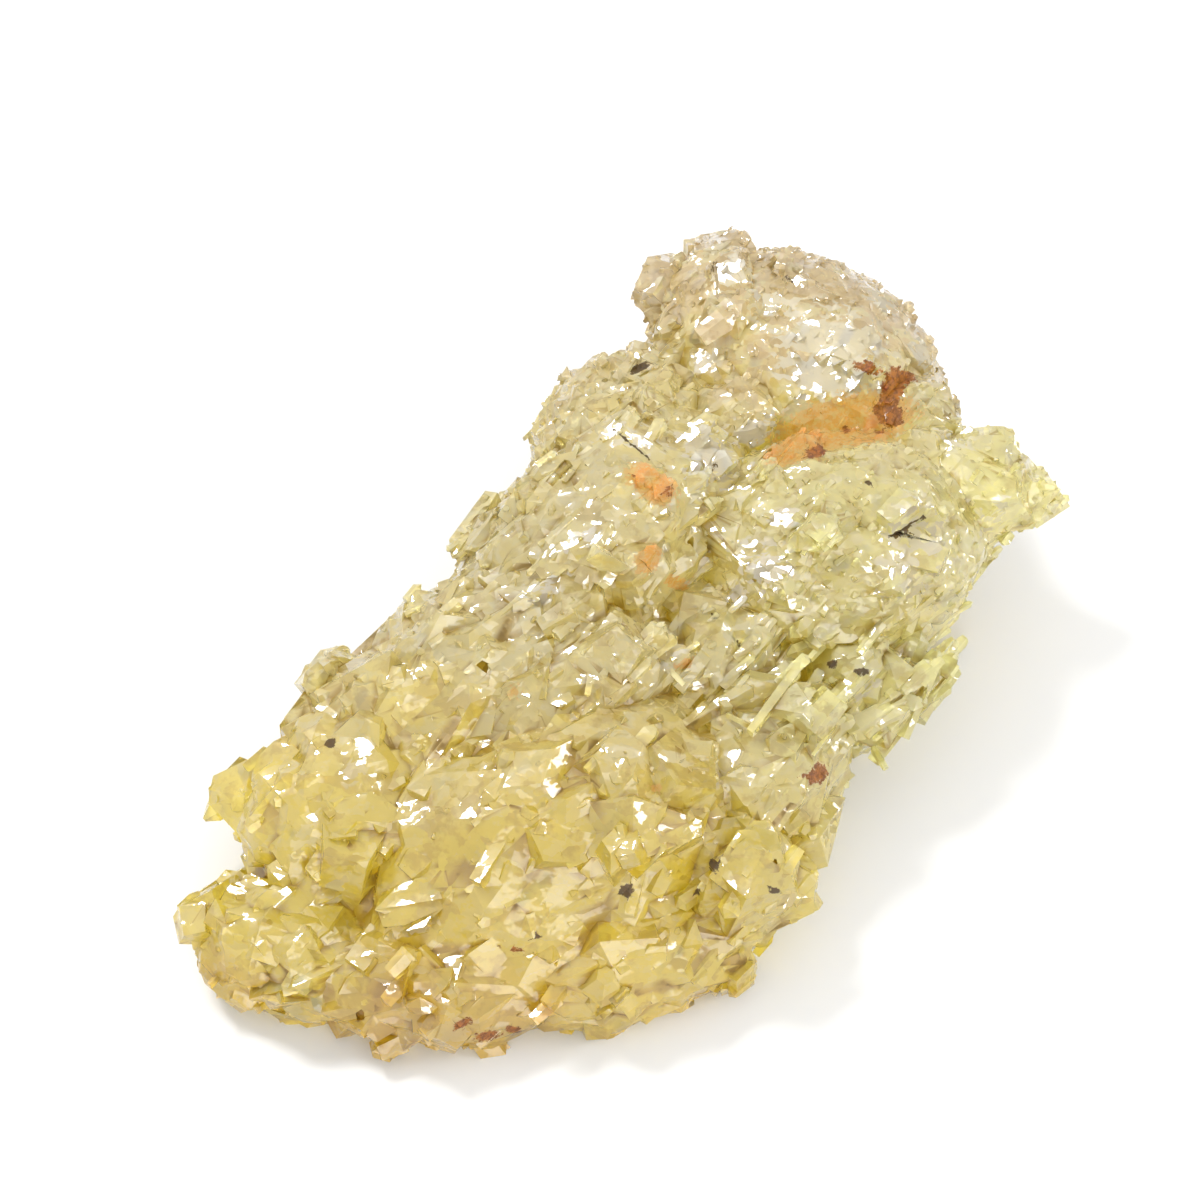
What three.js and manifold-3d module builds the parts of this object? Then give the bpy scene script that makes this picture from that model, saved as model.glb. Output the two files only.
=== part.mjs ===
// A rough heliodor (yellow beryl) about 50 mm long: one etched, many-lobed crystal lying on its back.
// Lengths are in millimetres. The stone is laid out as it looks on its broad face, with x to the
// right, y up the face and z out of it, and is then leant back onto the table.
import * as THREE from "three";
import { mergeVertices } from "three/addons/utils/BufferGeometryUtils.js";
import Module from "manifold-3d";

const wasm = await Module();
wasm.setup();

// How the broad face leans back from upright, and how far the long axis is turned to lie along +X.
const LEAN_BACK_DEG = 55;
const LONG_AXIS_TURN_DEG = -43.3;
// Where the table meets the plane of the face, measured up the face.
const TABLE_LINE = -19.9;

// The crystal's c axis, which runs up the stone from lower left to upper right and away.
const C_AXIS = new THREE.Vector3(0.7, 0.68, -0.22).normalize();

const STONE_COLOUR = 0xd9cd8a;
const STONE_ROUGHNESS = 0.25;

// The lobes of the stone. centre is (right, up, out), half is half the size along the lobe's own
// axes, and turn is the angle of its first axis from the x axis, in degrees.
const LOBES = [
  { name: "crown", centre: [10.2, 10.9, -13.0], half: [8.6, 7.6, 7.5], turn: -30, faces: 34 },
  { name: "crown_left", centre: [6.8, 13.7, -13.5], half: [4.6, 5.4, 6.0], turn: 10, faces: 24 },
  { name: "notch", centre: [16.2, 8.4, -10.0], half: [3.6, 3.6, 5.0], turn: 0, faces: 20 },
  { name: "right_block", centre: [11.4, 2.2, -6.6], half: [8.8, 6.8, 7.6], turn: 12, faces: 30 },
  { name: "right_tip", centre: [18.7, 6.0, -7.0], half: [4.7, 3.2, 3.6], turn: -15, faces: 20 },
  { name: "saddle", centre: [5.4, -3.4, -4.4], half: [5.0, 5.0, 6.0], turn: 0, faces: 24 },
  { name: "bridge", centre: [-2.0, -5.4, -1.6], half: [8.0, 4.6, 6.0], turn: 42, faces: 26 },
  { name: "neck", centre: [4.8, 4.6, -7.6], half: [4.6, 5.6, 6.4], turn: 30, faces: 24 },
  { name: "right_hip", centre: [12.5, -4.0, -6.2], half: [4.4, 4.4, 5.6], turn: 0, faces: 22 },
  { name: "left_shoulder", centre: [1.4, 8.0, -10.0], half: [5.4, 4.8, 6.5], turn: 45, faces: 24 },
  { name: "heart", centre: [-0.6, 1.2, -6.0], half: [10.4, 6.4, 8.4], turn: 52, faces: 34 },
  { name: "waist", centre: [-6.9, -4.9, -2.8], half: [8.8, 5.6, 6.6], turn: 45, faces: 28 },
  { name: "left_hip", centre: [-11.5, -5.6, -1.8], half: [4.3, 3.7, 4.8], turn: 40, faces: 22 },
  { name: "belly", centre: [-2.8, -12.8, 0.0], half: [11.4, 8.2, 7.0], turn: 30, faces: 34 },
  { name: "left_flank", centre: [-12.6, -10.8, -0.4], half: [6.2, 5.4, 5.0], turn: 65, faces: 26 },
  { name: "right_flank", centre: [7.4, -9.0, -3.0], half: [6.0, 5.0, 6.6], turn: 60, faces: 26 },
  { name: "foot", centre: [-15.4, -17.3, 1.0], half: [5.8, 4.0, 4.0], turn: -15, faces: 22 },
  { name: "keel", centre: [0.8, -17.2, 1.0], half: [7.4, 4.5, 4.6], turn: 12, faces: 24 },
  { name: "heel", centre: [6.3, -13.6, 0.0], half: [4.2, 4.2, 5.2], turn: 0, faces: 22 },
  { name: "toe", centre: [-8.4, -19.0, 2.0], half: [7.0, 3.6, 3.8], turn: -5, faces: 20 },
];
// How far the lobes are drawn in, so that the crystals' tips reach the stone's true outline.
const LOBE_INSET = 0.8;
// A lobe is cut from a block this wide, where its ellipsoid has a half size of 1. Its faces lie this
// far out, and stray this much from an even spread.
const LOBE_BLANK = 2.6;
const LOBE_FACE_REACH = [0.9, 1.03];
const LOBE_FACE_STRAY = 0.22;

// A clear six-sided crystal that stands out of the left side.
const SIDE_CRYSTAL = {
  centre: [-16.8, -10.0, -1.6],
  tilt: [0, 0, 80],
  form: { radius: 2.3, length: 5.6, shoulder: 0.8, top: 0.35, sides: 6 },
};

// The crystals that cover the skin, coarse ones first and finer ones on them. For each zone: the
// least distance between two, a crystal's width and length, and how far its tip stands proud.
const COARSE = {
  crown: { spacing: 2.8, width: [3.8, 5.2], length: [4.2, 5.4], proud: [0.4, 1.1] },
  block: { spacing: 3.0, width: [4.0, 5.6], length: [4.4, 5.8], proud: [0.4, 1.2] },
  middle: { spacing: 3.0, width: [3.8, 5.4], length: [5.2, 7.2], proud: [0.5, 1.3] },
  belly: { spacing: 3.5, width: [5.0, 6.8], length: [5.0, 6.6], proud: [0.5, 1.3] },
  ends: { spacing: 3.4, width: [3.4, 4.6], length: [3.6, 5.0], proud: [0.3, 0.8] },
  under: { spacing: 5.2, width: [5.6, 7.2], length: [5.0, 6.4], proud: [0.3, 1.0] },
};
const FINE = {
  crown: { spacing: 5.6, width: [1.3, 2.2], length: [1.8, 2.8], proud: [0.2, 0.6] },
  block: { spacing: 6, width: [1.4, 2.4], length: [2.0, 3.0], proud: [0.2, 0.6] },
  middle: { spacing: 6, width: [1.4, 2.4], length: [2.6, 4.2], proud: [0.2, 0.7] },
  belly: { spacing: 7, width: [1.8, 3.2], length: [2.4, 3.8], proud: [0.2, 0.7] },
  ends: { spacing: 7, width: [1.2, 2.0], length: [1.8, 2.6], proud: [0.2, 0.5] },
  under: { spacing: 12, width: [2.4, 3.6], length: [2.8, 4.0], proud: [0.2, 0.6] },
};
// Most skin crystals are etched down to fewer faces than six, and some of them to a point.
const SIDE_COUNTS = [4, 4, 5, 5, 6];
const POINTED_SHARE = 0.45;
// A crystal's shoulder and flat top as shares of its radius, how flat it is, and how much narrower
// its root is.
const SHOULDERS = [0.4, 1.2];
const TOPS = [0.2, 0.7];
const FLATNESS = [0.65, 1];
const ROOT_SHARE = 0.8;
// A chip across its end, this far from its middle as a share of its width, strays from the skin.
const CHIP_REACH = [0.36, 0.6];
const CHIP_STRAY = 0.6;
// How far an axis leans from the skin's normal towards the c axis, and how much it strays. Where the
// skin faces further from the c axis than this, the crystals grow the other way along it.
const COARSE_LEAN = { along: 0.45, stray: 0.35 };
const FINE_LEAN = { along: 0.4, stray: 0.6 };
const TURNING_POINT = -0.2;
// Where the thin right and left ends begin, which have smaller crystals.
const END_RIGHT = 15.5;
const END_LEFT = -14.5;
// What faces the table more than this is the underside.
const UNDER_SHARE = 0.25;
// Where the crown, the block and the middle end, going down the face.
const CROWN_FOOT = 9;
const CROWN_BACK = { up: 5, out: -8 };
const BLOCK_CORNER = { right: 5, up: -4 };
const BELLY_TOP = { up: -5, slope: -0.25 };
const SCATTER_TRIES = 9000;
const SMALLEST_DETAIL = 0.2;
const MERGE_DISTANCE = 1e-5;

const SEED = 20417;

// A repeatable source of numbers from 0 to 1.
function numberSource(seed) {
  let state = seed >>> 0;
  return () => {
    state = (state + 0x6d2b79f5) >>> 0;
    let mixed = Math.imul(state ^ (state >>> 15), 1 | state);
    mixed = (mixed + Math.imul(mixed ^ (mixed >>> 7), 61 | mixed)) ^ mixed;
    return ((mixed ^ (mixed >>> 14)) >>> 0) / 4294967296;
  };
}

const random = numberSource(SEED);
const between = (low, high) => low + (high - low) * random();

function randomDirection() {
  const up = between(-1, 1);
  const round = between(0, 2 * Math.PI);
  const flat = Math.sqrt(1 - up * up);
  return new THREE.Vector3(flat * Math.cos(round), flat * Math.sin(round), up);
}

// A closed three.js geometry as a solid that can be joined and cut.
function solidOf(geometry, matrix) {
  const bare = geometry.clone();
  bare.deleteAttribute("normal");
  bare.deleteAttribute("uv");
  if (matrix) bare.applyMatrix4(matrix);
  const merged = mergeVertices(bare, MERGE_DISTANCE);
  const triVerts = new Uint32Array(merged.index.array);
  const vertProperties = new Float32Array(merged.attributes.position.array);
  return new wasm.Manifold(new wasm.Mesh({ numProp: 3, vertProperties, triVerts }));
}

function geometryOf(solid) {
  const mesh = solid.getMesh();
  const geometry = new THREE.BufferGeometry();
  geometry.setAttribute("position", new THREE.BufferAttribute(mesh.vertProperties, 3));
  geometry.setIndex(new THREE.BufferAttribute(mesh.triVerts, 1));
  return geometry;
}

// A lobe: a block cut by flat faces that all touch one ellipsoid, so that its faces are polygons.
function makeLobe(lobe) {
  let solid = solidOf(new THREE.BoxGeometry(LOBE_BLANK, LOBE_BLANK, LOBE_BLANK));
  const goldenAngle = Math.PI * (3 - Math.sqrt(5));
  for (let i = 0; i < lobe.faces; i += 1) {
    const up = 1 - (2 * (i + 0.5)) / lobe.faces;
    const flat = Math.sqrt(1 - up * up);
    const normal = new THREE.Vector3(
      flat * Math.cos(i * goldenAngle),
      flat * Math.sin(i * goldenAngle),
      up,
    );
    normal.addScaledVector(randomDirection(), LOBE_FACE_STRAY).normalize();
    const reach = between(...LOBE_FACE_REACH);
    solid = solid.trimByPlane([-normal.x, -normal.y, -normal.z], -reach);
  }
  const place = new THREE.Matrix4().compose(
    new THREE.Vector3(...lobe.centre),
    new THREE.Quaternion().setFromAxisAngle(
      new THREE.Vector3(0, 0, 1),
      THREE.MathUtils.degToRad(lobe.turn),
    ),
    new THREE.Vector3(...lobe.half.map((size) => size - LOBE_INSET)),
  );
  return solid.transform(place.elements);
}

// A beryl crystal along y: a prism with a sloping shoulder that ends in a small flat top or a point.
function crystalGeometry({ radius, length, shoulder, top, sides }) {
  const half = length / 2;
  const flatTop = top > 0 ? [new THREE.Vector2(radius * top, half)] : [];
  const profile = [
    new THREE.Vector2(0, -half),
    new THREE.Vector2(radius * ROOT_SHARE, -half),
    new THREE.Vector2(radius, half - radius * shoulder),
    ...flatTop,
    new THREE.Vector2(0, half),
  ];
  return new THREE.LatheGeometry(profile, sides);
}

const tableWay = new THREE.Vector3(
  0,
  -Math.cos(THREE.MathUtils.degToRad(LEAN_BACK_DEG)),
  -Math.sin(THREE.MathUtils.degToRad(LEAN_BACK_DEG)),
);

function zoneAt(point, normal) {
  if (point.x > END_RIGHT || point.x < END_LEFT) return "ends";
  if (normal.dot(tableWay) > UNDER_SHARE) return "under";
  const behind = point.y > CROWN_BACK.up && point.z < CROWN_BACK.out;
  if (point.y > CROWN_FOOT || behind) return "crown";
  if (point.x > BLOCK_CORNER.right && point.y > BLOCK_CORNER.up) return "block";
  if (point.y > BELLY_TOP.up + BELLY_TOP.slope * point.x) return "middle";
  return "belly";
}

// Points spread over a solid's skin, no two nearer than their zone's spacing.
function scatter(solid, zones) {
  const mesh = solid.getMesh();
  const corner = (i) => new THREE.Vector3().fromArray(mesh.vertProperties, 3 * i);
  const faces = [];
  let area = 0;
  for (let i = 0; i < mesh.triVerts.length; i += 3) {
    const face = new THREE.Triangle(
      corner(mesh.triVerts[i]),
      corner(mesh.triVerts[i + 1]),
      corner(mesh.triVerts[i + 2]),
    );
    area += face.getArea();
    faces.push({ face, upTo: area });
  }
  const spots = [];
  for (let i = 0; i < SCATTER_TRIES; i += 1) {
    const target = random() * area;
    const { face } = faces.find((f) => f.upTo >= target);
    let s = random();
    let t = random();
    if (s + t > 1) {
      s = 1 - s;
      t = 1 - t;
    }
    const point = face.a.clone()
      .addScaledVector(face.b.clone().sub(face.a), s)
      .addScaledVector(face.c.clone().sub(face.a), t);
    const normal = face.getNormal(new THREE.Vector3());
    const zone = zones[zoneAt(point, normal)];
    if (spots.some((spot) => spot.point.distanceTo(point) < zone.spacing)) continue;
    spots.push({ point, normal, zone });
  }
  return spots;
}

// One crystal that grows out of the skin at a spot, with a chipped end.
function makeSkinCrystal({ point, normal, zone }, lean) {
  const width = between(...zone.width);
  const length = between(...zone.length);
  const side = normal.dot(C_AXIS) < TURNING_POINT ? -1 : 1;
  const axis = normal.clone()
    .multiplyScalar(1 - lean.along)
    .addScaledVector(C_AXIS, side * lean.along)
    .addScaledVector(randomDirection(), lean.stray)
    .normalize();
  const upright = new THREE.Quaternion().setFromUnitVectors(new THREE.Vector3(0, 1, 0), axis);
  const spin = new THREE.Quaternion().setFromAxisAngle(axis, between(0, 2 * Math.PI));
  const place = new THREE.Matrix4().compose(
    new THREE.Vector3(),
    spin.multiply(upright),
    new THREE.Vector3(1, 1, between(...FLATNESS)),
  );
  const crystal = solidOf(crystalGeometry({
    radius: width / 2,
    length,
    shoulder: between(...SHOULDERS),
    top: random() < POINTED_SHARE ? 0 : between(...TOPS),
    sides: SIDE_COUNTS[Math.floor(random() * SIDE_COUNTS.length)],
  }), place);
  const chip = normal.clone().addScaledVector(randomDirection(), CHIP_STRAY).normalize();
  const chipReach = between(...CHIP_REACH) * width;
  const chipped = crystal.trimByPlane([-chip.x, -chip.y, -chip.z], -chipReach);
  const top = highestAlong(chipped, normal);
  const shift = point.clone().addScaledVector(normal, between(...zone.proud) - top);
  return chipped.translate(shift.toArray());
}

// How far a solid at the origin reaches along a direction.
function highestAlong(solid, direction) {
  const { vertProperties, numProp } = solid.getMesh();
  let top = -Infinity;
  for (let i = 0; i < vertProperties.length; i += numProp) {
    const corner = new THREE.Vector3().fromArray(vertProperties, i);
    top = Math.max(top, corner.dot(direction));
  }
  return top;
}

// A solid with a layer of crystals grown over its skin.
function growOver(solid, zones, lean) {
  const crystals = scatter(solid, zones).map((spot) => makeSkinCrystal(spot, lean));
  return wasm.Manifold.union([solid, ...crystals]);
}

function makeSideCrystal() {
  const turn = new THREE.Euler(...SIDE_CRYSTAL.tilt.map(THREE.MathUtils.degToRad));
  const place = new THREE.Matrix4().compose(
    new THREE.Vector3(...SIDE_CRYSTAL.centre),
    new THREE.Quaternion().setFromEuler(turn),
    new THREE.Vector3(1, 1, 1),
  );
  return solidOf(crystalGeometry(SIDE_CRYSTAL.form), place);
}

// Leans the stone back, turns its long axis along +X and puts the table at z = 0.
function layDown(solid) {
  const lean = new THREE.Matrix4().makeRotationX(THREE.MathUtils.degToRad(90 - LEAN_BACK_DEG));
  const turn = new THREE.Matrix4().makeRotationZ(THREE.MathUtils.degToRad(LONG_AXIS_TURN_DEG));
  const lift = new THREE.Matrix4().makeTranslation(0, -TABLE_LINE, 0);
  return solid.transform(turn.multiply(lean).multiply(lift).elements);
}

// Moves a solid along the table so that its middle is over the origin.
function centreOnTable(solid) {
  const { min, max } = solid.boundingBox();
  return solid.translate([-(min[0] + max[0]) / 2, -(min[1] + max[1]) / 2, 0]);
}

// The outermost shell of a solid, with any hollow sealed inside it filled.
function outerShell(solid) {
  const shells = solid.decompose();
  return shells.reduce((most, shell) => (shell.volume() > most.volume() ? shell : most));
}

function makeStone() {
  const core = wasm.Manifold.union(LOBES.map(makeLobe));
  const coarse = growOver(core, COARSE, COARSE_LEAN);
  const fine = growOver(coarse, FINE, FINE_LEAN);
  const laid = layDown(fine.add(makeSideCrystal()));
  const rested = laid.trimByPlane([0, 0, 1], 0).simplify(SMALLEST_DETAIL);
  return centreOnTable(outerShell(rested));
}

const stoneMaterial = new THREE.MeshStandardMaterial({
  color: STONE_COLOUR,
  roughness: STONE_ROUGHNESS,
  metalness: 0,
});
const stone = new THREE.Mesh(geometryOf(makeStone()), stoneMaterial);
stone.name = "heliodor_stone";

const specimen = new THREE.Group();
specimen.add(stone);

export default specimen;
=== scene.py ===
"""A rough, etched heliodor about 50 mm long, on a pale floor in soft studio light.

The stone is made in millimetres in its face's own frame: x to the right, y up the face and z out
of it. The face then leans back onto the table, as it does in the frame that is loaded here.
"""

import math

import bmesh
import bpy
import numpy as np
from mathutils import Matrix, Vector, noise
from mathutils.bvhtree import BVHTree


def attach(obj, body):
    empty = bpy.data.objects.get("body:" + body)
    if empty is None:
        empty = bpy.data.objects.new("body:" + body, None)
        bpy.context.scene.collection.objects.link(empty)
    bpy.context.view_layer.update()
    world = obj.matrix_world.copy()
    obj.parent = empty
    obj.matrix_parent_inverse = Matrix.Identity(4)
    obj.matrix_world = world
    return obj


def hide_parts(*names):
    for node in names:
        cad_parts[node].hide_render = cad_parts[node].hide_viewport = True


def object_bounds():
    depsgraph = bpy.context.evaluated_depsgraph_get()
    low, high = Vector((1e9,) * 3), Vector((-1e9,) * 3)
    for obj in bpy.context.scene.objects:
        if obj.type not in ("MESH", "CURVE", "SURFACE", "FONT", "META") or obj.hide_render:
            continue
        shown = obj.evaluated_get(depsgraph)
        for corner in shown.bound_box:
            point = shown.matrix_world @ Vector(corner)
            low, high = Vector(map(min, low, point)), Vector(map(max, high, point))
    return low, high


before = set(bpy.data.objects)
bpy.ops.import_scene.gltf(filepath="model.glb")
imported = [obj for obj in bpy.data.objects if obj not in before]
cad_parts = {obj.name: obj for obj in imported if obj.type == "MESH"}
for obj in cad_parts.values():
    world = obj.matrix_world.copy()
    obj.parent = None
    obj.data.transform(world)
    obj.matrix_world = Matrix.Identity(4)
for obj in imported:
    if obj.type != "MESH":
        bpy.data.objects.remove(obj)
CAD_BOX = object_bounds()

bl_info = {
    "name": "Etched Heliodor",
    "version": (1, 0, 0),
    "blender": (4, 5, 0),
    "location": "View3D > Sidebar > Heliodor",
    "description": "Makes a rough, etched heliodor crystal and a pale stage to show it on",
    "category": "Object",
}

MM = 0.001
STONE_NODE = "heliodor_stone"
PIECE_NAME = "etched_stone"

# The face's place in the loaded frame: how far it leans back, how far the long axis is turned to
# lie along +X, where the table meets the face's plane, and the shift that centres the stone.
LEAN_BACK = math.radians(55)
LONG_AXIS_TURN = math.radians(-43.3)
TABLE_LINE = -19.9
CENTRING = (-11.726, -10.986, 0.0)

# The crystal's c axis on the face. It runs from lower left to upper right and away.
C_AXIS = Vector((0.7, 0.68, -0.22)).normalized()

# The rounded masses of the stone: centre, half the size each way, and the turn on the face in
# degrees, all in millimetres. Sugary ones are finely lumpy, and waxy ones have broad low facets.
MASSES = (
    ("sugary", (10.2, 10.9, -13.0), (8.6, 7.6, 7.5), -30),
    ("sugary", (6.8, 13.7, -13.5), (4.6, 5.4, 6.0), 10),
    ("sugary", (11.4, 2.2, -6.6), (8.8, 6.8, 7.6), 12),
    ("waxy", (4.8, 4.6, -7.6), (4.6, 5.6, 6.4), 30),
    ("waxy", (1.4, 8.0, -10.0), (5.4, 4.8, 6.5), 45),
    ("waxy", (7.0, 9.2, -11.0), (4.2, 3.4, 6.4), 20),
    ("waxy", (-0.6, 1.2, -6.0), (10.4, 6.4, 8.4), 52),
    ("waxy", (-6.9, -4.9, -2.8), (8.8, 5.6, 6.6), 45),
    ("waxy", (-2.0, -5.4, -1.6), (8.0, 4.6, 6.0), 42),
    ("waxy", (5.4, -3.4, -4.4), (5.0, 5.0, 6.0), 0),
    ("waxy", (12.5, -4.0, -6.2), (4.4, 4.4, 5.6), 0),
    ("waxy", (-2.8, -12.8, 0.0), (11.4, 8.2, 7.0), 30),
    ("waxy", (-12.6, -10.8, -0.4), (6.2, 5.4, 5.0), 65),
    ("waxy", (7.4, -9.0, -3.0), (6.0, 5.0, 6.6), 60),
    ("waxy", (6.3, -13.6, 0.0), (4.2, 4.2, 5.2), 0),
    ("waxy", (0.8, -17.2, 1.0), (7.4, 4.5, 4.6), 12),
    ("waxy", (-8.4, -19.0, 2.0), (7.0, 3.6, 3.8), -5),
    ("waxy", (-15.4, -17.3, 1.0), (5.8, 4.0, 4.0), -15),
)
# For each kind of mass: how finely it is cut, how far it is drawn in, how far its skin waves in
# and out, and how many waves there are to a millimetre.
MASS_KINDS = {
    "sugary": {"cuts": 5, "inset": 0.5, "wave": 0.5, "waves": 0.4},
    "waxy": {"cuts": 4, "inset": 0.5, "wave": 0.9, "waves": 0.45},
}

# How the small crystals cover each zone, layer by layer: the least distance between two, the
# width and the length of one and how far its tip stands proud, in millimetres, and the share of
# them that lies along the c axis.
LAYERS = {
    "blades": {
        "crown": dict(spacing=1.5, width=(0.8, 1.8), length=(1.2, 2.2), proud=(0.02, 0.2), aligned=0.5),
        "block": dict(spacing=1.5, width=(0.8, 1.8), length=(1.2, 2.2), proud=(0.02, 0.2), aligned=0.6),
        "middle": dict(spacing=1.6, width=(0.8, 2.2), length=(2.2, 4.6), proud=(0.05, 0.35), aligned=0.7),
        "teeth": dict(spacing=1.3, width=(0.7, 1.4), length=(3.0, 5.0), proud=(0.2, 0.7), aligned=0.95),
        "belly": dict(spacing=1.7, width=(1.0, 2.8), length=(1.8, 3.6), proud=(0.02, 0.28), aligned=0.5),
        "under": dict(spacing=4.0, width=(2.6, 3.8), length=(3.0, 4.4), proud=(0.1, 0.4), aligned=0.5),
    },
    "grains": {
        "crown": dict(spacing=0.62, width=(0.3, 0.75), length=(0.5, 1.1), proud=(0.06, 0.2), aligned=0.5),
        "block": dict(spacing=0.62, width=(0.3, 0.75), length=(0.5, 1.1), proud=(0.06, 0.2), aligned=0.5),
        "middle": dict(spacing=0.9, width=(0.3, 0.9), length=(0.8, 2.0), proud=(0.06, 0.25), aligned=0.6),
        "teeth": dict(spacing=1.1, width=(0.3, 0.8), length=(1.4, 2.8), proud=(0.1, 0.3), aligned=0.95),
        "belly": dict(spacing=1.3, width=(0.4, 1.2), length=(0.8, 2.0), proud=(0.03, 0.16), aligned=0.5),
        "under": dict(spacing=3.4, width=(1.2, 2.0), length=(1.6, 2.6), proud=(0.1, 0.3), aligned=0.5),
    },
}
# The etch pits, which have the same shapes but are sunk.
PITS = {
    "crown": dict(spacing=1.8, width=(0.4, 1.0), length=(0.8, 1.6), proud=(-0.4, -0.15), aligned=0.7),
    "block": dict(spacing=1.8, width=(0.4, 1.0), length=(0.8, 1.6), proud=(-0.4, -0.15), aligned=0.7),
    "middle": dict(spacing=2.0, width=(0.5, 1.2), length=(1.4, 2.8), proud=(-0.6, -0.2), aligned=0.9),
    "teeth": dict(spacing=1.8, width=(0.4, 0.9), length=(2.0, 3.6), proud=(-0.8, -0.3), aligned=0.95),
    "belly": dict(spacing=4.0, width=(0.5, 1.2), length=(1.4, 2.8), proud=(-0.4, -0.15), aligned=0.8),
    "under": dict(spacing=6.0, width=(1.2, 2.0), length=(1.6, 2.6), proud=(-0.4, -0.2), aligned=0.6),
}
# How many spots of the skin are tried for each layer.
SPOT_TRIES = 50000

# The shapes that a small crystal may have: its number of sides, the share with a pointed end, how
# wide a flat end is, how far its shoulder slopes, how flat it is, and how narrow its foot is.
SIDE_COUNTS = (3, 4, 5, 6)
POINTED_SHARE = 0.6
FLAT_END = (0.2, 0.75)
SHOULDER = (0.4, 1.1)
FLATNESS = (0.65, 1.0)
FOOT_TAPER = 0.8

# How far the crystals' axes stray from the c axis where they lie along it and where they don't,
# how strongly the others point outward and along the c axis, and the outward part below which a
# crystal is turned round.
ALIGNED_STRAY = 0.16
FREE_STRAY = 0.35
OUTWARD_PULL = 0.6
C_AXIS_PULL = 0.4
TURNED_ROUND = -0.2
# The turn about the c axis that shows one of the crystals' faces to the key light.
LATTICE_TURN = 0.35

# Where the zones lie on the face, in millimetres: the belly's sloping upper edge, the lower left
# corners of the teeth and of the block, the crown's foot, and its foot where it lies far back.
BELLY_EDGE = -5
BELLY_EDGE_SLOPE = -0.25
TEETH_CORNER = (4, -6)
BLOCK_CORNER = (5, -0.5)
CROWN_FOOT = 9
BACK_CROWN_FOOT = 5
BACK_CROWN_DEPTH = -8
# How squarely a part of the skin has to face the table to count as the underside.
UNDERSIDE = 0.4

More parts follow.
